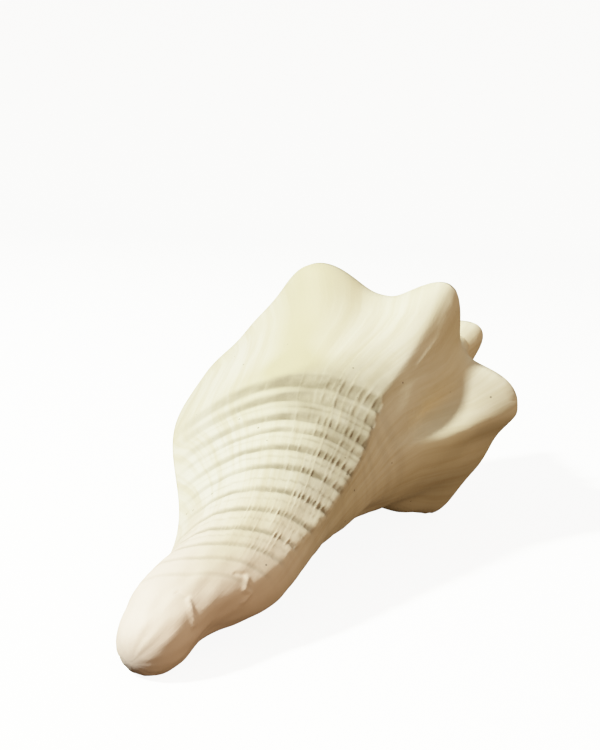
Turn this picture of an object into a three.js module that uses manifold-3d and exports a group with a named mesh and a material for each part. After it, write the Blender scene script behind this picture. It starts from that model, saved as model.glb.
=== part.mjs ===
import * as THREE from 'three';
import { mergeVertices } from 'three/addons/utils/BufferGeometryUtils.js';
import Module from 'manifold-3d';

// Driving dimensions, in millimetres, turns and degrees.
// A turn is one whole whorl: 0 is the outer lip and -1 is the same side one whorl earlier.
// A height is measured along the coil's axis, from the canal tip up to the apex.
const coilLength = 229.4; // canal tip to apex
const growthPerTurn = 1.448; // each whorl is this many times the one before
const wholeTurns = 5; // whorls modelled, counted back from the lip
const lipAngle = 179; // where the outer lip stands around the axis, from the right side

const shoulderDrop = 86.3; // apex to the shoulder, at the lip
const shoulderRadius = 51.9; // axis to the shoulder, at the lip
const shoulderRound = 4.8; // rounding where the ramp turns into the flank
const sutureDrop = 65; // apex to the seam with the whorl above, at the lip
const rampHollow = 2; // sag of the ramp between seam and shoulder
const flankHollow = 2.17; // 1 would be a straight cone from shoulder to canal
const neckReach = 0.973; // share of the flank over which it narrows

const canalRadius = 9.5;
const canalSpread = 0.9; // how much the last whorl widens the canal
const canalBendHeight = 70; // the canal bends below this height
const canalBendSide = -7.2; // bend of the canal to the left, as growth of its square
const canalBendDown = -4.2;
const tipShare = 0.074; // rounded end of the canal, as a share of the flank
const tipTaper = [8, 18]; // the canal's spread and the lip's flare die away between these heights

// Broad swellings and hollows of the outside: size, middle height and reach, middle angle and reach
const swells = [
  { size: 4.5, height: 43, length: 15, angle: -31, width: 50 }, // foot of the canal
  { size: 2.9, height: 23, length: 14, angle: 148, width: 42 },
  { size: -2.6, height: 21, length: 9, angle: -27, width: 40 },
  { size: 1.6, height: 60, length: 13, angle: -15, width: 30 },
  { size: -1.8, height: 103, length: 8, angle: -40, width: 18 },
  { size: 5.5, height: 147, length: 12, angle: -72, width: 15 }, // under the fourth knob
  { size: 1.5, height: 144, length: 12, angle: 136, width: 12 },
  { size: -1.4, height: 140, length: 12, angle: 157, width: 10 },
  { size: -3.2, height: 151, length: 12, angle: -4, width: 12 },
  { size: -10, height: 138, length: 16, angle: 22, width: 11 }, // valley behind the second knob
  { size: 2.4, height: 178, length: 7, angle: 53, width: 8 },
];

const knobSize = 16.4;
const knobLengthDown = 12.8; // fall of a knob below the shoulder
const knobLengthUp = 8.5; // fall of a knob above the shoulder
const knobSharpness = 1.25;
const earlyKnobSpacing = 0.143;
const earlyKnobShare = 0.85;
// Place of each knob and its share of the full size, back from the lip; the first two only end the row
const knobs = [
  { turn: 0.2, share: 0 },
  { turn: 0.012, share: 0 },
  { turn: -0.192, share: 0.79 },
  { turn: -0.331, share: 0.92 },
  { turn: -0.457, share: 0.84 },
  { turn: -0.69, share: 0.8 },
  { turn: -0.82, share: 1.25 },
  { turn: -0.96, share: 0.85 },
  { turn: -1.1, share: 0.8 },
  { turn: -1.25, share: 0.55 },
  { turn: -1.39, share: 1.35 },
];
const saddleShare = 0.2; // what is left of the knobs in the one wide gap between them
const wideGap = [-0.69, -0.457];

// Edges that run down the flank from the second and third knobs: turn and rise at some heights,
// and the distance over which each falls away in front and on its older side
const crests = [
  {
    heights: [0, 7, 14, 22, 30, 50, 66, 82, 97, 106, 113, 135, 150, 165],
    turns: [
      -0.41, -0.387, -0.374, -0.423, -0.45, -0.45, -0.447, -0.42, -0.385, -0.361, -0.347, -0.339, -0.33, -0.326,
    ],
    rises: [0, 0.8, 1.2, 1.3, 1.5, 2.2, 3.2, 3.4, 3.1, 2.8, 2.6, 2.6, 2.2, 0],
    front: 12,
    back: 5.5,
  },
  {
    heights: [102, 118, 130, 140, 152, 168],
    turns: [-0.44, -0.458, -0.473, -0.48, -0.484, -0.486],
    rises: [0, 2.6, 5, 6, 5, 0],
    front: 9,
    back: 14,
  },
];
const crestRound = 1.2;

const lipFlare = 28.6; // how far the outer lip turns out
const lipFlareReach = 0.214; // where on the flank it turns out most
const lipFlareLength = 0.405;
const lipFlareTurns = 0.075; // how fast the flare dies away behind the lip

const grooveCount = 11; // grooves between the spiral cords of the last whorl
const grooveDepth = 0.7;
const grooveStart = 0.232; // share of the way from seam to canal tip
const grooveEnd = 0.695;
const grooveCrowding = 0.35; // cords crowd together towards the canal
const grooveFadeTurns = 0.06;
const grooveLeft = 0.12; // what wear has left of a groove past the edge below the second knob
const grooveWear = 0.02; // turns over which a groove ends there

const wallThickness = 4;
const wallShare = 0.5; // most that the wall takes of a narrow space
const mouthDepth = 0.33; // how far back the mouth is hollow, in turns

const restRoll = -1.5; // these two lay the shell on its canal tip and on two knobs
const restPitch = -12.46;
const wornDepth = 1; // flat worn at each point that the shell rests on

// Fineness of the faceted solid
const stepsPerTurn = 62;
const rampRows = 5;
const upperFlankShares = [0.06, 0.12, 0.18];
const canalShares = [0.77, 0.83, 0.89, 0.93, 0.965, 0.985];
const mouthTopRow = 1;
const mouthBottomShare = 0.93;

const { clamp, lerp, smoothstep } = THREE.MathUtils;

function interpolate(x, places, values) {
  const last = places.length - 1;
  if (x <= places[0]) return values[0];
  if (x >= places[last]) return values[last];
  const next = places.findIndex((place) => place > x);
  const part = (x - places[next - 1]) / (places[next] - places[next - 1]);
  return lerp(values[next - 1], values[next], part);
}

function softMin(first, second, blend) {
  const mix = clamp(0.5 + (0.5 * (second - first)) / blend, 0, 1);
  return second + (first - second) * mix - blend * mix * (1 - mix);
}

function growth(turn) {
  return growthPerTurn ** turn;
}

function shoulderHeight(turn) {
  return coilLength - shoulderDrop * growth(turn);
}

function sutureHeight(turn) {
  return coilLength - sutureDrop * growth(turn);
}

// 0 at the shoulder and 1 at the canal tip
function flankReach(turn, height) {
  const shoulder = shoulderHeight(turn);
  return clamp((shoulder - height) / shoulder, 0, 1);
}

function flankRadius(turn, height) {
  const spread = canalSpread * smoothstep(height, ...tipTaper);
  const canal = canalRadius + spread * clamp(1 + turn, -0.6, 1);
  const fall = Math.max(0, 1 - flankReach(turn, height) / neckReach) ** flankHollow;
  return canal + (shoulderRadius * growth(turn) - canal) * fall;
}

function allKnobs() {
  const row = knobs.slice();
  while (row[row.length - 1].turn > -wholeTurns - 2) {
    row.push({ turn: row[row.length - 1].turn - earlyKnobSpacing, share: earlyKnobShare });
  }
  return row;
}

const knobRow = allKnobs();

// 1 on the crest of a full knob and 0 between knobs
function knobWave(turn) {
  const index = Math.max(knobRow.findIndex((knob) => knob.turn <= turn), 2);
  const [afterNext, after, before, beforeLast] = knobRow.slice(index - 2, index + 2);
  const gap = after.turn - before.turn;
  const part = clamp((turn - before.turn) / gap, 0, 1);
  const slopeStart = (2 * gap) / (after.turn - beforeLast.turn); // keeps a crest's two sides alike
  const slopeEnd = (2 * gap) / (afterNext.turn - before.turn);
  const eased = smoothstep(part, 0, 1);
  const phase = eased + part * (1 - part) * (slopeStart * (1 - part) - slopeEnd * part);
  const wave = (0.5 + 0.5 * Math.cos(2 * Math.PI * phase)) ** knobSharpness;
  const saddle = turn > wideGap[0] && turn < wideGap[1] ? saddleShare : 0;
  return lerp(before.share, after.share, eased) * (saddle + (1 - saddle) * wave);
}

function knobRaise(turn, height) {
  const size = growth(turn);
  const below = shoulderHeight(turn) - height;
  const fallDown = Math.exp(-((Math.max(below, 0) / (knobLengthDown * size)) ** 1.4));
  const fallUp = Math.exp(-((Math.min(below, 0) / (knobLengthUp * size)) ** 2));
  return knobSize * size * knobWave(turn) * fallDown * fallUp;
}

function angleOf(turn) {
  return lipAngle + 360 * turn;
}

function swellRaise(turn, height) {
  return swells.reduce((sum, swell) => {
    const aside = THREE.MathUtils.euclideanModulo(angleOf(turn) - swell.angle + 180, 360) - 180;
    const across = (height - swell.height) / swell.length;
    const around = aside / swell.width;
    return sum + swell.size * Math.exp(-across * across - around * around);
  }, 0);
}

// An edge has its own slope in front and on its older side
function crestRaise(turn, height) {
  return crests.reduce((sum, crest) => {
    const edge = interpolate(height, crest.heights, crest.turns);
    const away = (turn - edge) * 2 * Math.PI * flankRadius(turn, height);
    const reach = away > 0 ? crest.front : crest.back;
    const bend = (Math.hypot(away, crestRound) - crestRound) / reach;
    return sum + interpolate(height, crest.heights, crest.rises) * Math.exp(-bend);
  }, 0);
}

// Distance of the shell's outside from the axis
function whorlRadius(turn, height) {
  const size = growth(turn);
  const suture = sutureHeight(turn);
  const seam = flankRadius(turn - 1, suture) + knobRaise(turn - 1, suture);
  const along = (suture - height) / (suture - shoulderHeight(turn));
  const sag = rampHollow * size * Math.sin(Math.PI * clamp(along, 0, 1));
  const ramp = seam + (shoulderRadius * size - seam) * along - sag;
  const blend = shoulderRound * size * clamp(3 * along, 0.02, 1);
  const body = softMin(ramp, flankRadius(turn, height), blend);
  const knob = knobRaise(turn, height) * clamp(1.6 * along, 0, 1);

  const reach = flankReach(turn, height);
  const flareAlong = Math.exp(-(((reach - lipFlareReach) / lipFlareLength) ** 2));
  const flareEnds = clamp(1.2 * along, 0, 1) * smoothstep(height, ...tipTaper);
  const flare = lipFlare * Math.exp(turn / lipFlareTurns) * flareAlong * flareEnds;

  const raise = knob + swellRaise(turn, height) + crestRaise(turn, height);
  const tip = clamp((reach - 1 + tipShare) / tipShare, 0, 1);
  return (body + raise + flare) * Math.sqrt(1 - tip * tip);
}

// Place in the part's frame: X runs from canal to apex, Y to the left, Z up
function coilPoint(turn, height, radius) {
  const angle = THREE.MathUtils.degToRad(angleOf(turn));
  const bend = clamp((canalBendHeight - height) / canalBendHeight, 0, 1) ** 2;
  const side = radius * Math.cos(angle) + canalBendSide * bend;
  const up = radius * Math.sin(angle) + canalBendDown * bend;
  return new THREE.Vector3(height, -side, up);
}

// Rows of the flank from the seam's line down to the canal tip, with the grooves of the cords
function flankRows() {
  const rows = [0, ...upperFlankShares].map((share) => ({ share, groove: 0 }));
  for (let half = -1; half <= 2 * grooveCount - 1; half += 1) {
    const along = half / (2 * (grooveCount - 1));
    const crowded = along * (1 + grooveCrowding - grooveCrowding * along);
    const share = grooveStart + (grooveEnd - grooveStart) * crowded;
    rows.push({ share, groove: half % 2 === 0 ? 1 : 0 });
  }
  canalShares.forEach((share) => rows.push({ share, groove: 0 }));
  rows.push({ share: 1, groove: 0 });
  return rows;
}

// The shell as one closed skin: a band that winds down the spire, the last whorl's flank, and the mouth
function shellSkin() {
  const positions = [];
  const triangles = [];
  const rows = flankRows();
  const lastRow = rows.length - 1;
  const mouthBottomRow = rows.findIndex((row) => row.share >= mouthBottomShare);
  const mouthSteps = Math.round(mouthDepth * stepsPerTurn);
  const firstStep = -wholeTurns * stepsPerTurn;

  function addPoint(point) {
    positions.push(point.x, point.y, point.z);
    return positions.length / 3 - 1;
  }

  function addTriangle(a, b, c) {
    if (a !== b && b !== c && c !== a) triangles.push(a, b, c);
  }

  function addQuad(a, b, c, d) {
    addTriangle(a, b, c);
    addTriangle(a, c, d);
  }

  // Joins two lines of points that run side by side towards the canal
  function addStrip(outer, inner) {
    let i = 0;
    let j = 0;
    while (i < outer.length - 1 || j < inner.length - 1) {
      const outerNext = i < outer.length - 1 ? positions[3 * outer[i + 1]] : -Infinity;
      const innerNext = j < inner.length - 1 ? positions[3 * inner[j + 1]] : -Infinity;
      if (outerNext >= innerNext) {
        addTriangle(outer[i], inner[j], outer[i + 1]);
        i += 1;
      } else {
        addTriangle(outer[i], inner[j], inner[j + 1]);
        j += 1;
      }
    }
  }

  function flankHeight(turn, row) {
    return sutureHeight(turn + 1) * (1 - row.share);
  }

  function flankPoint(turn, row) {
    const height = flankHeight(turn, row);
    const fade = clamp(-turn / grooveFadeTurns, 0, 1) * clamp((turn + 1) / grooveFadeTurns, 0, 1);
    const edge = interpolate(height, crests[0].heights, crests[0].turns);
    const worn = lerp(grooveLeft, 1, smoothstep(turn, edge - grooveWear, edge));
    const radius = whorlRadius(turn, height) - grooveDepth * row.groove * fade * worn;
    return coilPoint(turn, height, radius);
  }

  // Inside of the outer wall, facing the whorl before
  function wallPoint(turn, row) {
    const height = flankHeight(turn - 1, row);
    const before = whorlRadius(turn - 1, height);
    const space = whorlRadius(turn, height) - before;
    const radius = before + space - Math.min(wallThickness, wallShare * space);
    return coilPoint(turn, height, radius);
  }

  // Points of the winding band, from each seam down to the next
  const band = new Map();
  for (let step = firstStep; step <= 0; step += 1) {
    const turn = step / stepsPerTurn;
    const line = [];
    for (let row = 0; row < rampRows; row += 1) {
      const height = lerp(sutureHeight(turn), sutureHeight(turn + 1), row / rampRows);
      line.push(addPoint(coilPoint(turn, height, whorlRadius(turn, height))));
    }
    band.set(step, line);
  }

  // Points of the last whorl's flank, which all meet at the canal tip
  const canalTip = addPoint(coilPoint(0, 0, 0));
  const flank = new Map();
  for (let step = -stepsPerTurn; step <= 0; step += 1) {
    const turn = step / stepsPerTurn;
    const line = rows.map((row, index) => {
      if (index === lastRow) return canalTip;
      if (index === 0 && step === -stepsPerTurn) return band.get(0)[0];
      return addPoint(flankPoint(turn, row));
    });
    flank.set(step, line);
  }

  // The band's lower edge is the next whorl's seam, or the last whorl's flank
  band.forEach((line, step) => {
    line.push(step < -stepsPerTurn ? band.get(step + stepsPerTurn)[0] : flank.get(step)[0]);
  });

  for (let step = firstStep; step < 0; step += 1) {
    const here = band.get(step);
    const next = band.get(step + 1);
    for (let row = 0; row < rampRows; row += 1) {
      addQuad(here[row], next[row], next[row + 1], here[row + 1]);
    }
  }
  for (let step = -stepsPerTurn; step < 0; step += 1) {
    const here = flank.get(step);
    const next = flank.get(step + 1);
    for (let row = 0; row < lastRow; row += 1) {
      addQuad(here[row], next[row], next[row + 1], here[row + 1]);
    }
  }

  // The apex closes the first whorl
  const apex = addPoint(coilPoint(0, coilLength, 0));
  for (let step = firstStep; step < firstStep + stepsPerTurn; step += 1) {
    addTriangle(apex, band.get(step + 1)[0], band.get(step)[0]);
  }
  for (let row = 0; row < rampRows; row += 1) {
    addTriangle(apex, band.get(firstStep)[row], band.get(firstStep)[row + 1]);
  }

  // The mouth: the whorl before on one side and the inside of the outer wall on the other
  const columella = new Map();
  const wall = new Map();
  for (let step = -mouthSteps; step <= 0; step += 1) {
    const turn = step / stepsPerTurn;
    const mouthRows = step < 0 ? rows.slice(0, mouthBottomRow + 1) : rows;
    const inner = mouthRows.map((row, index) => {
      if (step === 0) return flank.get(-stepsPerTurn)[index];
      return index < mouthTopRow ? -1 : addPoint(flankPoint(turn - 1, row));
    });
    const outer = mouthRows.map((row, index) => {
      const shared = index <= mouthTopRow || index >= mouthBottomRow;
      return shared ? inner[index] : addPoint(wallPoint(turn, row));
    });
    columella.set(step, inner);
    wall.set(step, outer);
  }
  for (let step = -mouthSteps; step < 0; step += 1) {
    for (let row = mouthTopRow; row < mouthBottomRow; row += 1) {
      const inner = columella.get(step);
      const innerNext = columella.get(step + 1);
      const outer = wall.get(step);
      const outerNext = wall.get(step + 1);
      addQuad(inner[row], innerNext[row], innerNext[row + 1], inner[row + 1]);
      addQuad(outer[row], outer[row + 1], outerNext[row + 1], outerNext[row]);
    }
  }
  const deepEnd = [wall.get(-mouthSteps), columella.get(-mouthSteps)];
  addStrip(...deepEnd.map((line) => line.slice(mouthTopRow, mouthBottomRow + 1)));
  addStrip([...band.get(0), ...flank.get(0).slice(1)], wall.get(0));

  const geometry = new THREE.BufferGeometry();
  geometry.setAttribute('position', new THREE.Float32BufferAttribute(positions, 3));
  geometry.setIndex(triangles);
  return geometry;
}

const wasm = await Module();
wasm.setup();

function solidFrom(geometry) {
  const vertProperties = new Float32Array(geometry.attributes.position.array);
  const triVerts = new Uint32Array(geometry.index.array);
  return new wasm.Manifold(new wasm.Mesh({ numProp: 3, vertProperties, triVerts }));
}

function geometryFrom(solid) {
  const mesh = solid.getMesh();
  const geometry = new THREE.BufferGeometry();
  geometry.setAttribute('position', new THREE.Float32BufferAttribute(mesh.vertProperties, 3));
  geometry.setIndex(Array.from(mesh.triVerts));
  geometry.computeVertexNormals();
  return geometry;
}

function layDown(geometry) {
  geometry.rotateX(THREE.MathUtils.degToRad(restRoll));
  geometry.rotateY(THREE.MathUtils.degToRad(restPitch));
  geometry.computeBoundingBox();
  const middle = geometry.boundingBox.getCenter(new THREE.Vector3());
  geometry.translate(-middle.x, -middle.y, -geometry.boundingBox.min.z - wornDepth);
  return geometry;
}

// What lies below the surface that the shell rests on
function ground() {
  const block = new THREE.BoxGeometry(2 * coilLength, 2 * coilLength, coilLength);
  block.translate(0, 0, -coilLength / 2);
  block.deleteAttribute('normal');
  block.deleteAttribute('uv');
  return mergeVertices(block);
}

const worn = solidFrom(layDown(shellSkin())).subtract(solidFrom(ground()));
const lime = new THREE.MeshStandardMaterial({ color: 0xede6d3, roughness: 0.55, metalness: 0 });
const shell = new THREE.Mesh(geometryFrom(worn), lime);
shell.name = 'shell';

const part = new THREE.Group();
part.add(shell);

export default part;
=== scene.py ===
import math

import bpy
import numpy as np
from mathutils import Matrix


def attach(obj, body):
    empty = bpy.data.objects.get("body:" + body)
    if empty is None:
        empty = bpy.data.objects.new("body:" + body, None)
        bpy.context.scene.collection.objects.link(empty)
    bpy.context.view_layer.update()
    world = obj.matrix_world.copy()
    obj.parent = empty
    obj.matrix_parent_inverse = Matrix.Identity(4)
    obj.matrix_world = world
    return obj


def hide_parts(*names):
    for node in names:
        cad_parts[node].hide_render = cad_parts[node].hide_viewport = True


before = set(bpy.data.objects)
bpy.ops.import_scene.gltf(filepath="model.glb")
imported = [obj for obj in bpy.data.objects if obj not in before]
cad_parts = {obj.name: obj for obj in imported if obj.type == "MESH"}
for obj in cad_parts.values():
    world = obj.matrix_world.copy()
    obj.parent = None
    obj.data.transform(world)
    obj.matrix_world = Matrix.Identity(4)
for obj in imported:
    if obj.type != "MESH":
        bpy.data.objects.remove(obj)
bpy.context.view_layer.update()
print("frame loaded:", sorted(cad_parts))

mm = 0.001

# The shell's growth, in millimetres, turns and degrees.
# Turn 0 is the outer lip and -1 is the same side one whorl earlier.
# A height runs along the coil's axis from the canal tip up to the apex, and a share
# runs down the last whorl's flank from its seam (0) to the canal tip (1).
conch = {
    "coilLength": 229.4,
    "growthPerTurn": 1.448,
    "wholeTurns": 6,
    "lipAngle": 179,
    "shoulderDrop": 86.3,
    "shoulderRadius": 51.9,
    "shoulderRound": 4.8,
    "sutureDrop": 65,
    "rampHollow": 2,
    "flankHollow": 2.17,
    "neckReach": 0.973,
    "canalRadius": 9.5,
    "canalSpread": 0.9,
    "spreadLimits": (-0.6, 1),
    "tipFade": (8, 10),  # mm above the canal tip where the spread and the flare start, and how soon they grow
    "canalBendHeight": 70,
    "canalBendSide": -7.2,
    "canalBendDown": -4.2,
    "tipShare": 0.074,
    "swells": [  # size, height, length, angle and width of each broad swelling or hollow
        (4.5, 43, 15, -31, 50),
        (2.9, 23, 14, 148, 42),
        (-2.6, 21, 9, -27, 40),
        (1.6, 60, 13, -15, 30),
        (-1.8, 103, 8, -40, 18),
        (5.5, 147, 12, -72, 15),
        (1.5, 144, 12, 136, 12),
        (-1.4, 140, 12, 157, 10),
        (-3.2, 151, 12, -4, 12),
        (-10, 138, 16, 22, 11),
        (2.4, 178, 7, 53, 8),
    ],
    "knobSize": 16.4,
    "knobLengthDown": 12.8,
    "knobLengthUp": 8.5,
    "knobFallDown": 1.4,
    "knobFallUp": 2,
    "knobSharpness": 1.25,
    "knobSeamFade": 1.6,
    "earlyKnobSpacing": 0.143,
    "earlyKnobShare": 0.85,
    "earlyKnobTurns": 3,  # the row runs this far past the first whorl
    "knobs": [  # turn and share of the full size; the first only ends the row
        (0.2, 0), (0.012, 0), (-0.192, 0.79), (-0.331, 0.92), (-0.457, 0.84), (-0.69, 0.8),
        (-0.82, 1.25), (-0.96, 0.85), (-1.1, 0.8), (-1.25, 0.55), (-1.39, 1.35),
    ],
    "crests": [  # heights, turns and rises of the edge below a knob, and its reach in front and behind
        ((0, 7, 14, 22, 30, 50, 66, 82, 97, 106, 113, 135, 150, 165),
         (-0.41, -0.387, -0.374, -0.423, -0.45, -0.45, -0.447, -0.42, -0.385, -0.361, -0.347, -0.339,
          -0.33, -0.326),
         (0, 0.8, 1.2, 1.3, 1.5, 2.2, 3.2, 3.5, 3.5, 3.5, 3.5, 3.3, 2.5, 0), (12, 4.5)),
        ((102, 118, 130, 140, 152, 168), (-0.44, -0.458, -0.473, -0.48, -0.484, -0.486),
         (0, 2.6, 5, 6, 5, 0), (9, 14)),
    ],
    "crestRound": 1.2,
    "saddleShare": 0.2,
    "wideGap": (-0.69, -0.457),  # turns of the two knobs that the saddle joins
    "seamBlend": (3, 0.02),  # how soon the shoulder's round opens below a seam, and its least part
    "lipFlare": 28.6,
    "lipFlareReach": 0.214,
    "lipFlareLength": 0.405,
    "lipFlareTurns": 0.075,
    "flareSeamFade": 1.2,
    "lipBulge": 2,
    "lipBulgeFade": 4,
    "wallThickness": 4,
    "wallShare": 0.5,
    "mouthDepth": 0.33,
    "mouthTop": 0.06,
    "mouthBottom": 0.9,
    "mouthCorner": 0.06,  # part of the lip's length that is rounded at each end
    "restRoll": -1.5,
    "restPitch": -12.46,
    "restShift": (-112.47, -10.01, 9.89),
    # fine relief of the last whorl; a fade is a start and a length, and two of them bound a zone
    "grooves": [  # share, width as a share, part of the full depth
        (0.243, 0.036, 1), (0.291, 0.026, 1), (0.320, 0.006, 0.3), (0.351, 0.023, 1),
        (0.391, 0.015, 0.85), (0.414, 0.006, 0.25), (0.445, 0.019, 0.85), (0.474, 0.006, 0.3),
        (0.505, 0.018, 0.8), (0.545, 0.006, 0.35), (0.577, 0.016, 0.8), (0.606, 0.005, 0.25),
        (0.639, 0.015, 0.75), (0.668, 0.005, 0.25), (0.699, 0.013, 0.65), (0.723, 0.005, 0.2),
        (0.748, 0.012, 0.5), (0.793, 0.012, 0.35), (0.843, 0.012, 0.2),
    ],
    "grooveDepth": 0.5,
    "grooveSquareness": 4,
    "cordShares": [0.2, 0.29, 0.345, 0.39, 0.44, 0.5, 0.6, 0.74, 0.8, 1],
    "cordTilts": [-0.2, -0.06, 0, 0.08, 0.13, 0.18, 0.2, 0.22, 0.3, 0.3],  # lower cords climb more
    "cordTurns": [-1, -0.75, -0.5, -0.38, -0.3, -0.26, -0.2, -0.1, 0],
    "cordWinding": [-0.55, -0.42, -0.26, -0.14, -0.045, 0, 0.035, 0.085, 0.14],
    "grooveTurns": [-1, -0.55, -0.46, -0.41, -0.3, -0.2, -0.1, -0.03, 0],
    "grooveShares": [0.8, 0.9, 1.05, 1.15, 1.15, 1.05, 0.8, 0.35, 0],  # faint at the lip
    "grooveLeft": 0.12,  # part of the depth that wear has left on the far side of the edge
    "grooveEnd": (2.5, 3),
    "ribFill": 0.75,  # part of a groove that a rib fills where it crosses
    "ribFillGain": 2,
    "reliefFade": 0.06,  # turns over which the relief dies away at the lip
    "growthShares": [-0.3, -0.05, 0.02, 0.06, 0.13, 0.2, 0.25, 0.29, 0.33, 0.37, 0.45, 0.55, 0.62, 0.75, 1],
    "growthLean": [-0.03, -0.012, -0.022, -0.02, -0.01, 0, -0.001, -0.006, -0.018, -0.028,
                   -0.048, -0.085, -0.115, -0.16, -0.2],  # turns that a line of growth leans back
    "rowTurns": (0.1, -1.3),  # where the uneven rows of bands and ribs start and end
    "rowStrengths": (0.1, 0.8),
    "bandSeed": 5,
    "bandSpacing": (0.02, 0.036),  # turns between the growth bands that overlap like shingles
    "bandHeight": 0.35,
    "bandAround": ((-0.4, 0.05), (-0.1, 0.08)),
    "bandAlong": ((-0.1, 0.1), (0.42, 0.2)),
    "ribSeed": 11,
    "ribSpacing": (0.009, 0.02),
    "ribHeight": 0.11,
    "ribWidth": 0.0024,
    "ribBreaks": (60, 400),  # how often a rib fades along its length, and how its neighbour differs
    "ribAround": ((-0.48, 0.05), (-0.2, 0.1)),
    "ribFaint": 0.25,  # part of the height left towards the lip
    "ribAlong": ((0.16, 0.08), (0.8, 0.15)),
    "ribRepeat": -1.2,  # whorls older than this turn repeat the last one's ribs
    "strongRibs": [(-0.2077, 0.35), (-0.281, 0.8), (-0.317, 0.5), (-0.345, 0.4)],
    "strongRibAlong": ((0.08, 0.2), (0.7, 0.3)),
    "ridges": [  # raised growth edges down the second knob and in the valley behind it
        [(-0.336, -0.06), (-0.341, -0.029), (-0.349, 0.005), (-0.355, 0.025), (-0.359, 0.095)],
        [(-0.343, -0.05), (-0.35, -0.02), (-0.357, 0.01), (-0.365, 0.05)],
        [(-0.401, -0.01), (-0.414, 0.015), (-0.423, 0.035), (-0.433, 0.115), (-0.442, 0.155)],
    ],
    "ridgeHeight": 0.3,
    "ridgeWidth": 0.8,
    "edgeDirtAndShadeShare": 0.75,  # grey on the cords beside the edge below the second knob, partly dirt and partly painted half-shade
    "edgeDirtAndShadeShares": (0.31, 0.4),  # the grey is widest on the upper cords
    "edgeDirtAndShadeReach": (40, 34),
    "edgeDirtAndShadeFade": (20, 34),
    "edgeDirtAndShadeTopPast": (-30, -4),  # mm from the edge, near which the grey starts higher
    "edgeDirtAndShadeTop": (0.19, 0.04),
    "edgeDirtAndShadeTopFade": (0.05, 0.24),
    "edgeDirtAndShadeBottom": (0.65, 0.3),
    "edgeDirtAndShadeEnd": (2, 3),
    "toothHeight": 0.45,  # the cords' ends stand out along the edge below the second knob
    "toothWidth": 1.5,
    "toothNotch": 1.5,
    "toothAlong": ((0.2, 0.05), (0.72, 0.06)),
    "stainsAndShade": [  # turn, share, width in turns, length as a share and strength of the creamier, darker patches, partly stain and partly painted shade
        (-0.18, 0.09, 0.052, 0.13, 1), (-0.17, 0.28, 0.12, 0.09, 0.5), (-0.175, 0.19, 0.09, 0.04, 0.6),
        (-0.2, -0.03, 0.04, 0.06, 0.5), (-0.3, 0.72, 0.1, 0.14, 0.5),
    ],
    "blushTop": (0.5, 0.35),  # share where the canal's pink starts, and how soon it is full
    "glazeFade": 0.05,  # turns over which the mouth's glaze starts
    "slots": [  # turn and share along each short crack near the canal
        [(-0.39, 0.787), (-0.412, 0.7767)],
        [(-0.29, 0.888), (-0.3262, 0.886)],
    ],
    "slotDepth": 0.35,
    "slotWidth": 0.5,
    "chips": [  # turn and share along each chipped edge below a crack
        [(-0.429, 0.778), (-0.454, 0.7936), (-0.478, 0.786), (-0.493, 0.803)],
        [(-0.345, 0.892), (-0.38, 0.902), (-0.43, 0.912)],
    ],
    "chipHeight": 0.5,
    "chipWidth": 0.6,
    "lumpSeed": 23,
    "lumpHeight": 0.32,  # low waves of the worn surface
    "lumpRadius": 14,
    "lumpWaves": 9,
    "lumpLengths": (5, 13),
    "lumpTop": (0.02, 0.1),
    "foldHeight": 2.2,  # three folds that wind round the columella inside the mouth
    "foldShares": (0.36, 0.44, 0.52),
    "foldWidth": 0.022,
    "foldStart": (-1.02, 0.08),
    # fineness of the mesh
    "columns": 360,
    "columnParts": (0, 0.2, 0.29, 0.78, 0.96, 1),  # closest together on the side with the ribs and cords
    "columnTurns": (-1, -0.56, -0.47, -0.2, -0.03, 0),
    "rowShares": (0, 0.2, 0.72),  # the smooth part, the cords and the canal start here
    "rowCounts": (20, 94, 50),
    "tipRows": 13,
    "bandRows": 8,
    "bandRowParts": (0, 0.375, 0.875, 1),  # closest together at the shoulder
    "bandRowDown": (0, 0.5, 0.88, 1),
    "mouthColumns": 40,
    "mouthCrowding": 1.3,  # columns crowd towards the lip
    "lipColumns": 7,
    "nubRows": 3,
    "nubShare": -0.4,  # where the apex lies in the coil map
    "weldDistance": 0.002,
    "smoothAngle": 55,
}


def growth(turn):
    return conch["growthPerTurn"] ** turn


def smooth(x):
    x = np.clip(x, 0, 1)
    return x * x * (3 - 2 * x)


def rising(x, fade):
    start, length = fade
    return smooth((x - start) / length)


def falling(x, fade):
    end, length = fade
    return smooth((end - x) / length)


def within(x, zone):  # 1 inside a zone, fading to 0 at both ends
    return rising(x, zone[0]) * falling(x, zone[1])


def shoulderHeight(turn):
    return conch["coilLength"] - conch["shoulderDrop"] * growth(turn)


def sutureHeight(turn):
    return conch["coilLength"] - conch["sutureDrop"] * growth(turn)


def flankReach(turn, height):  # 0 at the shoulder, 1 at the canal tip
    shoulder = shoulderHeight(turn)
    return np.clip((shoulder - height) / shoulder, 0, 1)


def flankRadius(turn, height):
    spread = conch["canalSpread"] * rising(height, conch["tipFade"])
    canal = conch["canalRadius"] + spread * np.clip(1 + turn, *conch["spreadLimits"])
    fall = np.maximum(0, 1 - flankReach(turn, height) / conch["neckReach"]) ** conch["flankHollow"]
    return canal + (conch["shoulderRadius"] * growth(turn) - canal) * fall


def allKnobs():
    row = list(conch["knobs"])
    while row[-1][0] > -conch["wholeTurns"] - conch["earlyKnobTurns"]:
        row.append((row[-1][0] - conch["earlyKnobSpacing"], conch["earlyKnobShare"]))
    return np.array(row[::-1])


knobRow = allKnobs()


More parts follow.
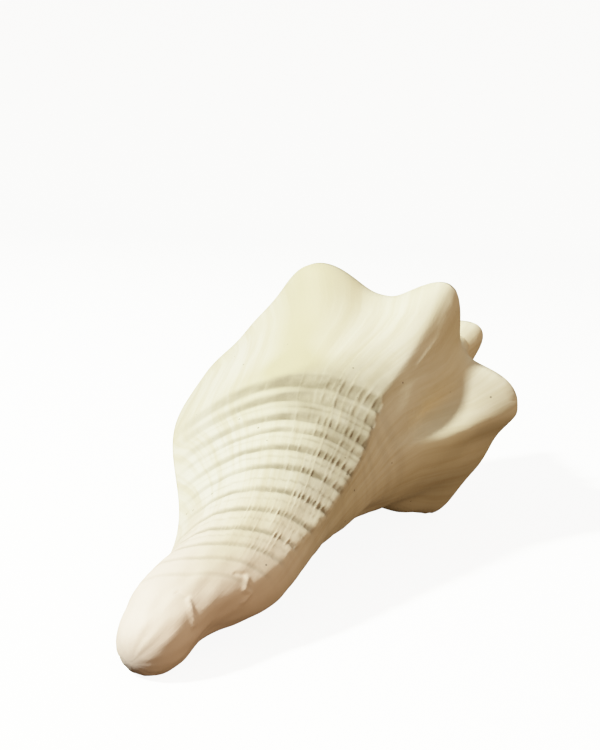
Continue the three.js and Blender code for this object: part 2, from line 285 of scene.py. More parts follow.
def knobWave(turn):  # 1 on the crest of a full knob, 0 between knobs
    turn = np.asarray(turn, float)
    after = np.clip(np.searchsorted(knobRow[:, 0], turn, side="right"), 2, len(knobRow) - 2)
    start, end = knobRow[after - 1], knobRow[after]
    gap = end[..., 0] - start[..., 0]
    part = np.clip((turn - start[..., 0]) / gap, 0, 1)
    slopeStart = 2 * gap / (end[..., 0] - knobRow[after - 2][..., 0])  # keeps a crest's two sides alike
    slopeEnd = 2 * gap / (knobRow[after + 1][..., 0] - start[..., 0])
    phase = smooth(part) + part * (1 - part) * (slopeStart * (1 - part) - slopeEnd * part)
    wave = (0.5 + 0.5 * np.cos(2 * np.pi * phase)) ** conch["knobSharpness"]
    low, high = conch["wideGap"]
    saddle = np.where((turn > low) & (turn < high), conch["saddleShare"], 0)
    share = start[..., 1] + (end[..., 1] - start[..., 1]) * smooth(part)
    return share * (saddle + (1 - saddle) * wave)


def knobRaise(turn, height):
    size = growth(turn)
    below = shoulderHeight(turn) - height
    fallDown = np.exp(-(np.maximum(below, 0) / (conch["knobLengthDown"] * size)) ** conch["knobFallDown"])
    fallUp = np.exp(-(np.minimum(below, 0) / (conch["knobLengthUp"] * size)) ** conch["knobFallUp"])
    return conch["knobSize"] * size * knobWave(turn) * fallDown * fallUp


def crestRaise(turn, height):  # an edge falls away faster on its older side
    rise = 0
    for heights, turns, rises, (front, back) in conch["crests"]:
        away = (turn - np.interp(height, heights, turns)) * 2 * np.pi * flankRadius(turn, height)
        width = np.where(away > 0, front, back)
        bend = (np.hypot(away, conch["crestRound"]) - conch["crestRound"]) / width
        rise = rise + np.interp(height, heights, rises, left=0, right=0) * np.exp(-bend)
    return rise


def softMin(first, second, blend):
    mix = np.clip(0.5 + 0.5 * (second - first) / blend, 0, 1)
    return second + (first - second) * mix - blend * mix * (1 - mix)


def whorlRadius(turn, height):  # distance of the outside from the coil's axis
    size = growth(turn)
    suture = sutureHeight(turn)
    seam = flankRadius(turn - 1, suture) + knobRaise(turn - 1, suture)
    along = (suture - height) / (suture - shoulderHeight(turn))
    sag = conch["rampHollow"] * size * np.sin(np.pi * np.clip(along, 0, 1))
    ramp = seam + (conch["shoulderRadius"] * size - seam) * along - sag
    opening, least = conch["seamBlend"]
    blend = conch["shoulderRound"] * size * np.clip(opening * along, least, 1)
    body = softMin(ramp, flankRadius(turn, height), blend)
    knob = knobRaise(turn, height) * np.clip(conch["knobSeamFade"] * along, 0, 1)

    swell = 0
    for rise, middle, length, angle, width in conch["swells"]:
        aside = (conch["lipAngle"] + 360 * turn - angle + 180) % 360 - 180
        swell = swell + rise * np.exp(-((height - middle) / length) ** 2) * np.exp(-(aside / width) ** 2)

    reach = flankReach(turn, height)
    flare = np.exp(-((reach - conch["lipFlareReach"]) / conch["lipFlareLength"]) ** 2)
    flare = conch["lipFlare"] * np.exp(turn / conch["lipFlareTurns"]) * flare
    flare = flare * np.clip(conch["flareSeamFade"] * along, 0, 1) * rising(height, conch["tipFade"])

    tip = np.clip((reach - 1 + conch["tipShare"]) / conch["tipShare"], 0, 1)
    return (body + knob + swell + flare + crestRaise(turn, height)) * np.sqrt(1 - tip * tip)


def coilPoint(turn, height, radius):  # place in the frame, in metres
    angle = np.radians(conch["lipAngle"] + 360 * turn)
    bend = np.clip((conch["canalBendHeight"] - height) / conch["canalBendHeight"], 0, 1) ** 2
    side = radius * np.cos(angle) + conch["canalBendSide"] * bend
    x = height + 0 * side
    y = -side
    z = radius * np.sin(angle) + conch["canalBendDown"] * bend
    roll, pitch = math.radians(conch["restRoll"]), math.radians(conch["restPitch"])
    y, z = y * math.cos(roll) - z * math.sin(roll), y * math.sin(roll) + z * math.cos(roll)
    x, z = x * math.cos(pitch) + z * math.sin(pitch), z * math.cos(pitch) - x * math.sin(pitch)
    place = np.stack([x, y, z], axis=-1) + np.array(conch["restShift"])
    place[..., 2] = np.maximum(place[..., 2], 0)  # the flats worn by the ground
    return place * mm


def growthTurn(turn, share):  # a line of growth keeps this value from seam to canal
    return turn - np.interp(share, conch["growthShares"], conch["growthLean"])


def unevenRow(spacing, seed):  # places in turns and strengths, older ones last
    random = np.random.default_rng(seed)
    row = []
    place, last = conch["rowTurns"]
    while place > last:
        place -= random.uniform(*spacing)
        row.append((place, random.uniform(*conch["rowStrengths"])))
    return row


growthRibs = unevenRow(conch["ribSpacing"], conch["ribSeed"])
growthBands = np.array(unevenRow(conch["bandSpacing"], conch["bandSeed"])[::-1])


def bandAt(turn, share):  # each band stands up at its younger edge
    line = growthTurn(turn, share)
    after = np.clip(np.searchsorted(growthBands[:, 0], line), 1, len(growthBands) - 1)
    start, end = growthBands[after - 1], growthBands[after]
    step = start[..., 1] * ((line - start[..., 0]) / (end[..., 0] - start[..., 0]) - 0.5)
    return np.clip(step, -1, 1) * within(turn, conch["bandAround"]) * within(share, conch["bandAlong"])


def ribAt(turn, share):  # about 1 on a growth rib
    line = growthTurn(turn, share)
    line = np.where(line < conch["ribRepeat"], line % 1 - 1, line)
    often, shift = conch["ribBreaks"]
    rise = np.zeros_like(line)
    for place, height in growthRibs:
        broken = 0.5 + 0.5 * np.sin(often * share + shift * place)
        rise = rise + height * broken * np.exp(-((line - place) / conch["ribWidth"]) ** 2)
    older, younger = conch["ribAround"]
    around = conch["ribFaint"] + (1 - conch["ribFaint"]) * falling(turn, younger)
    rise = rise * around * rising(turn, older) * within(share, conch["ribAlong"])
    strongAlong = within(share, conch["strongRibAlong"])
    for place, height in conch["strongRibs"]:
        rise = rise + height * np.exp(-((line - place) / conch["ribWidth"]) ** 2) * strongAlong
    return rise


def cordShare(turn, share):  # keeps its value along a cord, which climbs as it winds
    tilt = np.interp(share, conch["cordShares"], conch["cordTilts"])
    return share - tilt * np.interp(turn, conch["cordTurns"], conch["cordWinding"])


def pastEdge(turn, share):  # mm beyond the edge below the second knob
    height = sutureHeight(turn + 1) * (1 - share)
    heights, turns = conch["crests"][0][:2]
    return (np.interp(height, heights, turns) - turn) * 2 * np.pi * flankRadius(turn, height)


def grooveShape(turn, share):  # 1 in the deepest groove between two cords
    line = cordShare(turn, share)
    groove = np.zeros_like(share)
    for place, width, depth in conch["grooves"]:
        away = (line - place) / (0.5 * width)
        groove = np.maximum(groove, depth * np.exp(-away ** conch["grooveSquareness"]))
    return groove


def grooveAt(turn, share):  # what growth ribs and wear have left of the grooves
    filled = conch["ribFill"] * np.clip(conch["ribFillGain"] * ribAt(turn, share), 0, 1)
    nearSide = falling(pastEdge(turn, share), conch["grooveEnd"])
    left = conch["grooveLeft"] + (1 - conch["grooveLeft"]) * nearSide
    strength = np.interp(turn, conch["grooveTurns"], conch["grooveShares"])
    return grooveShape(turn, share) * (1 - filled) * left * strength


def edgeDirtAndShadeAt(turn, share):  # full strength of the grey beside the edge is 1; partly dirt, partly painted half-shade
    past = pastEdge(turn, share)
    reach = np.interp(share, conch["edgeDirtAndShadeShares"], conch["edgeDirtAndShadeReach"])
    fade = np.interp(share, conch["edgeDirtAndShadeShares"], conch["edgeDirtAndShadeFade"])
    across = smooth((past + reach) / fade) * falling(past, conch["edgeDirtAndShadeEnd"])
    top = np.interp(past, conch["edgeDirtAndShadeTopPast"], conch["edgeDirtAndShadeTop"])
    topFade = np.interp(past, conch["edgeDirtAndShadeTopPast"], conch["edgeDirtAndShadeTopFade"])
    along = smooth((share - top) / topFade) * falling(share, conch["edgeDirtAndShadeBottom"])
    return conch["edgeDirtAndShadeShare"] * across * along


def toothAt(turn, share):  # 1 on a cord's end, below 0 in the notch between two
    across = np.exp(-(pastEdge(turn, share) / conch["toothWidth"]) ** 2)
    notch = conch["toothNotch"] * grooveShape(turn, share)
    return (1 - notch) * across * within(share, conch["toothAlong"])


def nearPath(turn, share, path):  # distance in mm from a line drawn on the flank
    middleTurn, middleShare = np.mean(path, axis=0)
    flankLength = sutureHeight(1 + middleTurn)
    turnLength = 2 * np.pi * flankRadius(middleTurn, flankLength * (1 - middleShare))
    x, y = turn * turnLength, share * flankLength
    nearest = np.full(np.shape(turn), np.inf)
    for (turnA, shareA), (turnB, shareB) in zip(path[:-1], path[1:]):
        startX, startY = turnA * turnLength, shareA * flankLength
        dx, dy = (turnB - turnA) * turnLength, (shareB - shareA) * flankLength
        part = np.clip(((x - startX) * dx + (y - startY) * dy) / (dx * dx + dy * dy), 0, 1)
        nearest = np.minimum(nearest, np.hypot(x - startX - part * dx, y - startY - part * dy))
    return nearest


def lumpAt(turn, share):  # low, uneven waves of a surface worn by the sea, about -1 to 1
    height = sutureHeight(turn + 1) * (1 - share)
    around = 2 * np.pi * turn * conch["lumpRadius"]
    random = np.random.default_rng(conch["lumpSeed"])
    wave = np.zeros_like(height)
    for _ in range(conch["lumpWaves"]):
        length = random.uniform(*conch["lumpLengths"])
        lean = random.uniform(0, np.pi)
        phase = random.uniform(0, 2 * np.pi)
        wave = wave + np.cos(2 * np.pi * (height * np.cos(lean) + around * np.sin(lean)) / length + phase)
    return wave / conch["lumpWaves"]


def pathRaise(turn, share, paths, height, width):  # a low, rounded rise along each path
    rise = np.zeros_like(share)
    for path in paths:
        rise = rise + height * np.exp(-(nearPath(turn, share, path) / width) ** 2)
    return rise


def ridgeRaise(turn, share):
    return pathRaise(turn, share, conch["ridges"], conch["ridgeHeight"], conch["ridgeWidth"])


def relief(turn, share):  # mm that the last whorl's skin stands out or in
    ends = smooth(-turn / conch["reliefFade"]) * smooth((turn + 1) / conch["reliefFade"])
    rise = -conch["grooveDepth"] * grooveAt(turn, share)
    rise = rise + conch["ribHeight"] * ribAt(turn, share) * ends
    rise = rise + conch["bandHeight"] * bandAt(turn, share) * ends
    rise = rise + conch["lumpHeight"] * lumpAt(turn, share) * ends * rising(share, conch["lumpTop"])
    rise = rise + conch["toothHeight"] * toothAt(turn, share) + ridgeRaise(turn, share)
    rise = rise - pathRaise(turn, share, conch["slots"], conch["slotDepth"], conch["slotWidth"])
    return rise + pathRaise(turn, share, conch["chips"], conch["chipHeight"], conch["chipWidth"])


def stainAndShadeAt(turn, share):  # 1 in the creamiest, darkest part; partly stain, partly painted shade
    stainAndShade = np.zeros_like(share)
    for patchTurn, patchShare, width, length, strength in conch["stainsAndShade"]:
        away = ((turn - patchTurn) / width) ** 2 + ((share - patchShare) / length) ** 2
        stainAndShade = stainAndShade + strength * np.exp(-away)
    return np.clip(stainAndShade, 0, 1)


def flankPoint(turn, share):
    height = sutureHeight(turn + 1) * (1 - share)
    folds = np.zeros_like(share)
    for place in conch["foldShares"]:
        folds = folds + np.exp(-((share - place) / conch["foldWidth"]) ** 2)
    folds = conch["foldHeight"] * folds * falling(turn, conch["foldStart"])
    rise = np.where(turn < -1, folds, relief(turn, share) * (share > 0))
    return coilPoint(turn, height, whorlRadius(turn, height) + rise)


def deselectAll():
    if bpy.context.object and bpy.context.object.mode != "OBJECT":
        bpy.ops.object.mode_set(mode="OBJECT")
    bpy.ops.object.select_all(action="DESELECT")


# A flat grid whose columns and rows are laid along the growth of the shell
def layGrid(name, places, turns, shares, marks):
    columns, rows = places.shape[:2]
    deselectAll()
    bpy.ops.mesh.primitive_grid_add(x_subdivisions=columns - 1, y_subdivisions=rows - 1, size=2)
    skin = bpy.context.object
    skin.name = name
    mesh = skin.data
    flat = np.zeros(len(mesh.vertices) * 3)
    mesh.vertices.foreach_get("co", flat)
    flat = flat.reshape(-1, 3)
    column = np.rint((flat[:, 0] + 1) / 2 * (columns - 1)).astype(int)
    row = np.rint((flat[:, 1] + 1) / 2 * (rows - 1)).astype(int)
    mesh.vertices.foreach_set("co", places[column, row].ravel())
    corners = np.zeros(len(mesh.loops), int)
    mesh.loops.foreach_get("vertex_index", corners)
    coil = np.stack([growthTurn(turns, shares), shares], axis=-1)[column, row][corners]
    mesh.uv_layers[0].name = "coil"
    mesh.uv_layers[0].data.foreach_set("uv", coil.ravel())
    for mark in ("groove", "stainAndShade", "blush", "mouth"):
        values = np.broadcast_to(marks.get(mark, 0.0), (columns, rows))[column, row]
        layer = mesh.attributes.new(mark, "FLOAT", "POINT")
        layer.data.foreach_set("value", values.astype(np.float32))
    mesh.update()
    return skin


def turnColumns():
    count = conch["columns"]
    ends = [round(count * part) for part in conch["columnParts"]]
    return np.interp(np.arange(count + 1), ends, conch["columnTurns"])


def flankShares():
    starts = conch["rowShares"] + (1 - conch["tipShare"],)
    rows = []
    for start, end, count in zip(starts[:-1], starts[1:], conch["rowCounts"]):
        rows.append(np.linspace(start, end, count, endpoint=False))
    rows.append(1 - conch["tipShare"] * np.cos(np.linspace(0, np.pi / 2, conch["tipRows"])))
    flankRows = np.concatenate(rows)
    for mouthEdge in (conch["mouthTop"], conch["mouthBottom"]):
        flankRows[np.argmin(abs(flankRows - mouthEdge))] = mouthEdge
    return flankRows


lastTurn = turnColumns()
shares = flankShares()
columnCount = conch["columns"]
bandRows = conch["bandRows"]

# The band winds down the spire, from each seam to the next
bandTurns = np.concatenate([lastTurn[:-1] + back for back in range(1 - conch["wholeTurns"], 1)] + [[0]])
down = np.interp(np.linspace(0, 1, bandRows + 1), conch["bandRowParts"], conch["bandRowDown"])
turnGrid = bandTurns[:, None] + 0 * down[None]
top, bottom = sutureHeight(turnGrid), sutureHeight(turnGrid + 1)
heightGrid = top + (bottom - top) * down[None]
bandShare = 1 - heightGrid / bottom
bandRelief = conch["ribHeight"] * growth(turnGrid) * ribAt(turnGrid, bandShare)
bandRelief = bandRelief * np.sin(np.pi * down[None]) * smooth(-turnGrid / conch["reliefFade"])
bandRelief = bandRelief + np.where(turnGrid > -1, ridgeRaise(turnGrid, bandShare), 0)
bandPlaces = coilPoint(turnGrid, heightGrid, whorlRadius(turnGrid, heightGrid) + bandRelief)
earlier = len(bandTurns) - 1 - columnCount
bandPlaces[:earlier, -1] = bandPlaces[columnCount:columnCount + earlier, 0]  # seam shared with the next whorl

# The last whorl's flank runs on down to the canal tip
flankTurn = lastTurn[:, None] + 0 * shares[None]
flankShare = 0 * flankTurn + shares[None]
flankPlaces = flankPoint(flankTurn, flankShare)
flankPlaces[:, 0] = bandPlaces[-columnCount - 1:, -1]
flankPlaces[0, 0] = bandPlaces[-1, 0]
flankPlaces[:, -1] = coilPoint(0.0, 0.0, 0.0)

# Inside the mouth the whorl before goes on as the columella
topRow = int(np.argmin(abs(shares - conch["mouthTop"])))
bottomRow = int(np.argmin(abs(shares - conch["mouthBottom"])))
deep = -conch["mouthDepth"] * np.linspace(0, 1, conch["mouthColumns"] + 1) ** conch["mouthCrowding"]
mouthShares = shares[topRow:bottomRow + 1]
columellaTurn = (deep[::-1] - 1)[:, None] + 0 * mouthShares[None]
columellaShare = 0 * columellaTurn + mouthShares[None]
columellaPlaces = flankPoint(columellaTurn, columellaShare)
columellaPlaces[-1] = flankPlaces[0, topRow:bottomRow + 1]

# The outer wall's edge turns over at the lip and goes on as the inside of that wall
outerLine = np.concatenate([bandPlaces[-1], flankPlaces[-1, 1:]])
outerHeight = np.concatenate([heightGrid[-1], sutureHeight(1.0) * (1 - shares[1:])])
cornerTop = sutureHeight(0.0) * (1 - conch["mouthTop"])
cornerBottom = sutureHeight(0.0) * (1 - conch["mouthBottom"])
lipTop = int(np.argmin(abs(outerHeight - cornerTop)))
lipBottom = int(np.argmin(abs(outerHeight - cornerBottom)))
lipHeight = outerHeight[lipTop:lipBottom + 1]
lipPart = (lipHeight[0] - lipHeight) / (lipHeight[0] - lipHeight[-1])  # 0 to 1 down the lip


def wallPlace(turn):  # radius and height of the inside of the outer wall
    high = sutureHeight(turn) * (1 - conch["mouthTop"])
    low = sutureHeight(turn) * (1 - conch["mouthBottom"])
    height = high + (low - high) * lipPart[None]
    before = whorlRadius(turn - 1, height)
    space = whorlRadius(turn, height) - before
    room = space - np.minimum(conch["wallThickness"], conch["wallShare"] * space)
    top = np.clip(lipPart / conch["mouthCorner"], 0, 1)
    bottom = np.clip((1 - lipPart) / conch["mouthCorner"], 0, 1)
    return before + room * np.sqrt(top * bottom)[None], height


wallTurn = deep[:, None] + 0 * lipPart[None]
wallRadius, wallHeight = wallPlace(wallTurn)
innerPlaces = coilPoint(wallTurn, wallHeight, wallRadius)
innerPlaces[:, 0] = columellaPlaces[::-1, 0]
innerPlaces[:, -1] = columellaPlaces[::-1, -1]
outerRadius = whorlRadius(0.0, lipHeight)
lipBulge = np.minimum(0.5 * (outerRadius - wallRadius[0]), conch["lipBulge"])
lipBulge = lipBulge * smooth(np.sin(np.pi * lipPart) * conch["lipBulgeFade"])
lipRound = [outerLine[lipTop:lipBottom + 1]]
for step in range(1, conch["lipColumns"]):
    over = math.pi * step / conch["lipColumns"]
    across = 0.5 - 0.5 * math.cos(over)
    radius = outerRadius + (wallRadius[0] - outerRadius) * across
    height = lipHeight + (wallHeight[0] - lipHeight) * across
    lipRound.append(coilPoint(lipBulge * math.sin(over) / (2 * np.pi * radius), height, radius))
lipPlaces = np.concatenate([np.array(lipRound), innerPlaces])
lipCount = len(lipRound)
lipTurn = np.concatenate([np.zeros((lipCount, len(lipPart))), wallTurn])
lipShare = 0 * lipTurn + lipPart[None]
lipMouth = np.concatenate([np.linspace(0, 1, lipCount), np.ones(len(deep))])[:, None]

# A rounded nub closes the first whorl
nubTurn = bandTurns[:columnCount + 1, None]
nubRise = np.linspace(0, np.pi / 2, conch["nubRows"] + 1)[None]
nubFoot = heightGrid[:columnCount + 1, :1]
nubHeight = nubFoot + (conch["coilLength"] - nubFoot) * np.sin(nubRise)
nubRadius = whorlRadius(nubTurn, nubFoot) * np.cos(nubRise)
nubPlaces = coilPoint(nubTurn + 0 * nubRise, nubHeight, nubRadius)[::-1]
nubPlaces[:, 0] = bandPlaces[:columnCount + 1, 0][::-1]
nubPlaces[:, -1] = coilPoint(0.0, conch["coilLength"], 0.0)
nubShare = 0 * (nubTurn + nubRise) + conch["nubShare"]

flankMarks = {
    # groove mark: dirt and painted shade in the grooves, and painted half-shade with dirt beside the edge
    "groove": np.clip(grooveAt(flankTurn, flankShare) + edgeDirtAndShadeAt(flankTurn, flankShare), 0, 1),
    # stain mark: creamier patches, partly painted shade
    "stainAndShade": stainAndShadeAt(flankTurn, flankShare),
    "blush": rising(flankShare, conch["blushTop"]),
}
columellaMarks = {
    "mouth": smooth((-1 - columellaTurn) / conch["glazeFade"]),
    "blush": rising(columellaShare, conch["blushTop"]),
}
pieces = [
    layGrid("nub", nubPlaces, nubTurn[::-1] + 0 * nubRise, nubShare, {}),
    layGrid("conchShell", bandPlaces, turnGrid, bandShare, {"stainAndShade": stainAndShadeAt(turnGrid, bandShare)}),
    layGrid("flank", flankPlaces, flankTurn, flankShare, flankMarks),
    layGrid("columella", columellaPlaces, columellaTurn, columellaShare, columellaMarks),
    layGrid("mouthWall", lipPlaces, lipTurn, lipShare, {"mouth": lipMouth}),
]
print("grids laid:", [len(piece.data.polygons) for piece in pieces])

deselectAll()
for piece in pieces:
    piece.select_set(True)
conchShell = pieces[1]
bpy.context.view_layer.objects.active = conchShell
bpy.ops.object.join()
bpy.ops.object.mode_set(mode="EDIT")
bpy.ops.mesh.select_all(action="SELECT")
bpy.ops.mesh.remove_doubles(threshold=conch["weldDistance"] * mm)
bpy.ops.mesh.select_all(action="SELECT")
bpy.ops.mesh.fill_holes(sides=0)  # apex, deep end of the mouth and both ends of the lip
bpy.ops.mesh.select_all(action="DESELECT")
bpy.ops.mesh.select_face_by_sides(number=4, type="GREATER")
bpy.ops.mesh.quads_convert_to_tris(quad_method="BEAUTY", ngon_method="BEAUTY")
bpy.ops.mesh.select_all(action="SELECT")
bpy.ops.mesh.normals_make_consistent(inside=False)
bpy.ops.object.mode_set(mode="OBJECT")
bpy.ops.object.shade_smooth_by_angle(angle=math.radians(conch["smoothAngle"]))
print("shell closed:", len(conchShell.data.vertices), "vertices")


def linear(hexColour):  # sRGB hex to the linear colour that a socket wants
    parts = [int(hexColour[i:i + 2], 16) / 255 for i in (1, 3, 5)]
    return [c / 12.92 if c <= 0.04045 else ((c + 0.055) / 1.055) ** 2.4 for c in parts] + [1]


# Adds a node, sets its properties and inputs, and links the inputs that are given a socket
def addNode(tree, kind, settings=None, inputs=None):
    node = tree.nodes.new(kind)
    for name, value in (settings or {}).items():
        setattr(node, name, value)
    for name, value in (inputs or {}).items():
        if isinstance(value, bpy.types.NodeSocket):
            tree.links.new(value, node.inputs[name])
        else:
            node.inputs[name].default_value = value
    return node


lime = {
    "ivory": "#f2ecdf",
    "cream": "#ede5cf",
    "blush": "#f7e4dc",
    # the stain colour is darker as well as creamier: partly stain, partly painted shade
    "stainAndShade": "#d3c8a6",
    # the groove colour darkens the grooves and the grey beside the edge: partly dirt, partly painted shade
    "grooveDirtAndShade": "#938770",
    "mouthGlaze": "#f2e3cd",
    "streak": "#d9cdb2",
    "pinhole": "#6b5f4b",
    "turnLength": 283,  # mm round the last whorl, which is one turn of the coil map
    "patchSize": 38,  # mm across the paler and yellower clouds
    "patchDetail": 3,
    "patchRange": (0.35, 0.65),
    "streakWidth": 5,  # mm across a streak, which follows the growth lines
    "streakBreaks": 2.5,  # how often a streak changes between seam and canal
    "streakDetail": 4,
    "streakRoughness": 0.6,
    "streakRange": (0.42, 0.68),
    "streakStrength": 0.7,
    "grooveNoiseSize": 9,  # mm across the parts of a groove that are darkened more or less, by dirt and by painted shade
    "grooveNoiseDetail": 4,
    "grooveNoiseRange": (0.3, 0.6),
    "grooveNoiseLeast": 0.55,
    "pinholeSpacing": 7,  # mm between pores, of which only those at the surface show
    "pinholeRange": (0.035, 0.06),  # a pore's dark middle and its rim, as shares of the spacing
    "pinholeStrength": 0.8,
    "lineSpacing": 1.6,  # mm between growth lines; real ones are finer than the render can show
    "lineBreaks": 5,
    "lineDetail": 3,
    "lineStrength": 0.3,
    "lineHeight": 0.15,
    "grainSize": 0.8,  # mm, coarser than real chalk so that it shows
    "grainDetail": 2,
    "grainStrength": 0.5,
    "grainHeight": 0.08,
    "roughness": 0.6,
    "ior": 1.55,
}


# Sun-bleached shell lime, aragonite laid down in layers: chalky satin outside, with faint growth lines,
# darkening in the grooves (partly dirt, partly painted shade), creamier patches (partly stain, partly painted
# shade) and a porcelain-like glaze in the mouth
def shellLime():
    material = bpy.data.materials.new("bleachedShellLime")
    material.use_nodes = True
    tree = material.node_tree
    tree.nodes.clear()
    place = addNode(tree, "ShaderNodeTexCoord").outputs["Object"]
    coil = addNode(tree, "ShaderNodeUVMap", {"uv_map": "coil"}).outputs["UV"]
    groove = addNode(tree, "ShaderNodeAttribute", {"attribute_name": "groove"}).outputs["Fac"]
    stainAndShade = addNode(tree, "ShaderNodeAttribute", {"attribute_name": "stainAndShade"}).outputs["Fac"]
    blush = addNode(tree, "ShaderNodeAttribute", {"attribute_name": "blush"}).outputs["Fac"]
    mouth = addNode(tree, "ShaderNodeAttribute", {"attribute_name": "mouth"}).outputs["Fac"]

    # paler and creamier clouds under streaks that follow the growth
    clouds = addNode(tree, "ShaderNodeTexNoise", {}, {
        "Vector": place,
        "Scale": 1 / (lime["patchSize"] * mm),
        "Detail": lime["patchDetail"],
    }).outputs["Fac"]
    cloudy = addNode(tree, "ShaderNodeMapRange", {}, {
        "Value": clouds,
        "From Min": lime["patchRange"][0],
        "From Max": lime["patchRange"][1],
    }).outputs["Result"]
    acrossStreaks = addNode(tree, "ShaderNodeMapping", {}, {
        "Vector": coil,
        "Scale": (lime["turnLength"] / lime["streakWidth"], lime["streakBreaks"], 1),
    }).outputs["Vector"]
    streaks = addNode(tree, "ShaderNodeTexNoise", {"noise_dimensions": "2D"}, {
        "Vector": acrossStreaks,
        "Scale": 1,
        "Detail": lime["streakDetail"],
        "Roughness": lime["streakRoughness"],
    }).outputs["Fac"]
    streaky = addNode(tree, "ShaderNodeMapRange", {}, {
        "Value": streaks,
        "From Min": lime["streakRange"][0],
        "From Max": lime["streakRange"][1],
        "To Max": lime["streakStrength"],
    }).outputs["Result"]

    # darkening held unevenly in the grooves and beside the edge, partly dirt and partly painted shade, and a
    # few open pores
    grooveNoise = addNode(tree, "ShaderNodeTexNoise", {}, {
        "Vector": place,
        "Scale": 1 / (lime["grooveNoiseSize"] * mm),
        "Detail": lime["grooveNoiseDetail"],
    }).outputs["Fac"]
    grooveUnevenness = addNode(tree, "ShaderNodeMapRange", {}, {
        "Value": grooveNoise,
        "From Min": lime["grooveNoiseRange"][0],
        "From Max": lime["grooveNoiseRange"][1],
        "To Min": lime["grooveNoiseLeast"],
    }).outputs["Result"]
    dirtAndShade = addNode(tree, "ShaderNodeMath", {"operation": "MULTIPLY"}, {0: groove, 1: grooveUnevenness}).outputs["Value"]
    pores = addNode(tree, "ShaderNodeTexVoronoi", {}, {
        "Vector": place,
        "Scale": 1 / (lime["pinholeSpacing"] * mm),
    }).outputs["Distance"]
    pinholes = addNode(tree, "ShaderNodeMapRange", {}, {
        "Value": pores,
        "From Min": lime["pinholeRange"][0],
        "From Max": lime["pinholeRange"][1],
        "To Min": lime["pinholeStrength"],
        "To Max": 0,
    }).outputs["Result"]
    layers = linear(lime["ivory"])
    # the stain and groove layers paint shade as well as colour
    for share, colour in ((cloudy, "cream"), (streaky, "streak"), (blush, "blush"), (stainAndShade, "stainAndShade"),
                          (dirtAndShade, "grooveDirtAndShade"), (pinholes, "pinhole"), (mouth, "mouthGlaze")):
        mix = addNode(tree, "ShaderNodeMix", {"data_type": "RGBA"},
                      {"Factor": share, 6: layers, 7: linear(lime[colour])})  # 6 and 7 are its two colours
        layers = mix.outputs[2]

    # fine growth lines and a grain like chalk
    acrossLines = addNode(tree, "ShaderNodeMapping", {}, {
        "Vector": coil,
        "Scale": (lime["turnLength"] / lime["lineSpacing"], lime["lineBreaks"], 1),
    }).outputs["Vector"]
    lines = addNode(tree, "ShaderNodeTexNoise", {"noise_dimensions": "2D"}, {
        "Vector": acrossLines,
        "Scale": 1,
        "Detail": lime["lineDetail"],
    }).outputs["Fac"]
    grain = addNode(tree, "ShaderNodeTexNoise", {}, {
        "Vector": place,
        "Scale": 1 / (lime["grainSize"] * mm),
        "Detail": lime["grainDetail"],
    }).outputs["Fac"]
    lineBump = addNode(tree, "ShaderNodeBump", {}, {
        "Strength": lime["lineStrength"],
        "Distance": lime["lineHeight"] * mm,
        "Height": lines,
    }).outputs["Normal"]
    grainBump = addNode(tree, "ShaderNodeBump", {}, {
        "Strength": lime["grainStrength"],
        "Distance": lime["grainHeight"] * mm,
        "Height": grain,
        "Normal": lineBump,
    }).outputs["Normal"]
    surface = addNode(tree, "ShaderNodeBsdfPrincipled", {}, {
        "Base Color": layers,
        "Roughness": lime["roughness"],
        "IOR": lime["ior"],
        "Normal": grainBump,
    }).outputs["BSDF"]
    addNode(tree, "ShaderNodeOutputMaterial", {}, {"Surface": surface})
    return material


conchShell.data.materials.clear()
conchShell.data.materials.append(shellLime())
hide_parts("shell")
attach(conchShell, "root")
print("shell dressed")

studio = {
    "floorColour": "#f4f4f2",
    "floorGlow": 2.8,
    "floorRoughness": 0.9,
    "floorRadius": 1.2,
    "floorCorners": 96,
    "sweepSteps": 8,
    "sweepOut": 0.6,
    "sweepUp": 0.12,  # metres that the steepest step rises
    "wallHeight": 2,
    "floorSmooth": 40,
    "lamps": [  # direction, distance, size, power, colour
        ((-0.55, 0.46, 0.697), 1.1, 0.1, 27, "#fbffec"),
        ((-0.3, -0.92, 0.24), 1.1, 0.6, 4.1, "#ffcd8e"),
    ],
    "fill": [  # from straight below up to straight above
        (0, "#080402"), (0.38, "#2a1c0d"), (0.47, "#c89c6c"), (0.62, "#5f4d37"), (1, "#c0c6bc"),
    ],
    "fillStrength": 1.0,
    "filmWhite": 4,  # light that the film curve brings to white
    "filmSteps": (0, 0.02, 0.05, 0.1, 0.15, 0.2, 0.3, 0.4, 0.55, 0.75, 1),
    "cameraPlace": (-0.308, -0.13502, 0.13628),
    "cameraTurn": (77.349, -3.394, -64.826),
    "lens": 48,
    "sensor": 36,
    "nearest": 0.01,
}


def sweepReach(part):  # radius of the sweep, from its foot (0) to its top (1)
    return studio["floorRadius"] + studio["sweepOut"] * math.sin(math.pi / 2 * part)


# A white sweep: the floor runs far back and turns up behind
deselectAll()
bpy.ops.mesh.primitive_circle_add(
    vertices=studio["floorCorners"], radius=studio["floorRadius"], fill_type="NGON")
floor = bpy.context.object
floor.name = "floor"
bpy.ops.object.mode_set(mode="EDIT")
bpy.ops.mesh.select_mode(type="EDGE")
bpy.ops.mesh.select_all(action="SELECT")
steps = studio["sweepSteps"]
for step in range(steps):  # the edge is drawn out and up in a quarter round
    wider = sweepReach((step + 1) / steps) / sweepReach(step / steps)
    rise = studio["sweepUp"] * math.sin(math.pi / 2 * (step + 0.5) / steps)
    bpy.ops.mesh.extrude_edges_move(TRANSFORM_OT_translate={"value": (0, 0, rise)})
    bpy.ops.transform.resize(value=(wider, wider, 1))
bpy.ops.mesh.extrude_edges_move(TRANSFORM_OT_translate={"value": (0, 0, studio["wallHeight"])})
bpy.ops.object.mode_set(mode="OBJECT")
bpy.ops.object.shade_smooth_by_angle(angle=math.radians(studio["floorSmooth"]))
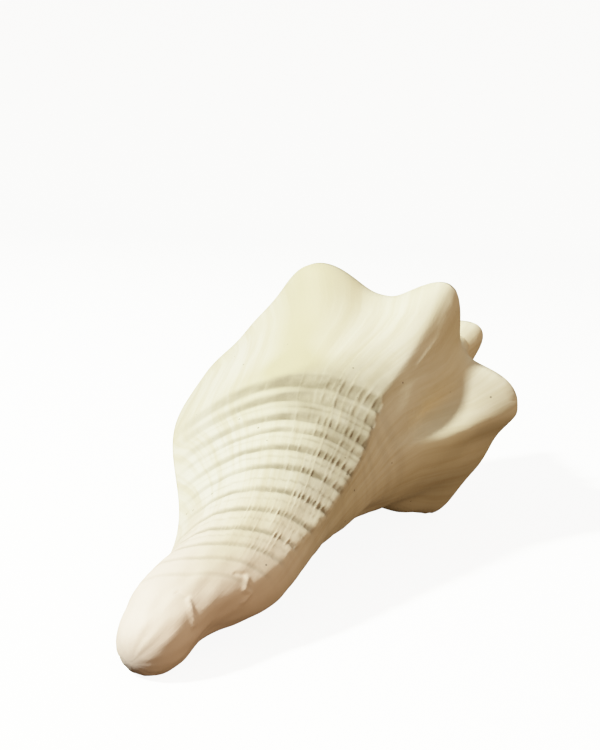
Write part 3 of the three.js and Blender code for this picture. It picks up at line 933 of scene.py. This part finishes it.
floor.visible_diffuse = False  # the shell is lit by the lamps and the warm fill alone
floor.visible_glossy = False
floor.visible_shadow = False
floorPaint = bpy.data.materials.new("mattWhitePaint")
floorPaint.use_nodes = True
paint = floorPaint.node_tree.nodes["Principled BSDF"]
paint.inputs["Base Color"].default_value = linear(studio["floorColour"])
paint.inputs["Roughness"].default_value = studio["floorRoughness"]
paint.inputs["Emission Color"].default_value = linear(studio["floorColour"])
paint.inputs["Emission Strength"].default_value = studio["floorGlow"]
floor.data.materials.append(floorPaint)

for direction, distance, size, power, colour in studio["lamps"]:
    bpy.ops.object.light_add(type="AREA", location=[c * distance for c in direction])
    lamp = bpy.context.object
    lamp.data.size = size
    lamp.data.energy = power
    lamp.data.color = linear(colour)[:3]
    lamp.rotation_euler = (-lamp.location).to_track_quat("-Z", "Y").to_euler()

world = bpy.data.worlds.new("warmFill")
world.use_nodes = True
sky = world.node_tree
outward = addNode(sky, "ShaderNodeTexCoord").outputs["Generated"]
upward = addNode(sky, "ShaderNodeSeparateXYZ", {}, {"Vector": outward}).outputs["Z"]
level = addNode(sky, "ShaderNodeMapRange", {}, {
    "Value": upward,
    "From Min": -1,
    "From Max": 1,
}).outputs["Result"]
tint = addNode(sky, "ShaderNodeValToRGB", {}, {"Fac": level})
for place, _ in studio["fill"][1:-1]:
    tint.color_ramp.elements.new(place)
for stop, (place, colour) in zip(tint.color_ramp.elements, studio["fill"]):
    stop.position = place
    stop.color = linear(colour)
sky.links.new(tint.outputs["Color"], sky.nodes["Background"].inputs["Color"])
sky.nodes["Background"].inputs["Strength"].default_value = studio["fillStrength"]
bpy.context.scene.world = world

cameraTurn = [math.radians(angle) for angle in studio["cameraTurn"]]
bpy.ops.object.camera_add(location=studio["cameraPlace"], rotation=cameraTurn)
camera = bpy.context.object
camera.data.lens = studio["lens"]
camera.data.sensor_width = studio["sensor"]
camera.data.clip_start = studio["nearest"]
bpy.context.scene.camera = camera

# A film-like shoulder keeps the bright side from burning out
view = bpy.context.scene.view_settings
view.view_transform = "Standard"
view.use_curve_mapping = True
film = view.curve_mapping
film.white_level = [studio["filmWhite"]] * 3
shoulder = film.curves[3].points
for step in studio["filmSteps"]:
    shown = 1 - math.exp(-studio["filmWhite"] * step)
    if step == 0:
        shoulder[0].location = (0, shown)
    elif step == 1:
        shoulder[-1].location = (1, shown)
    else:
        shoulder.new(step, shown)
film.update()
print("studio set")
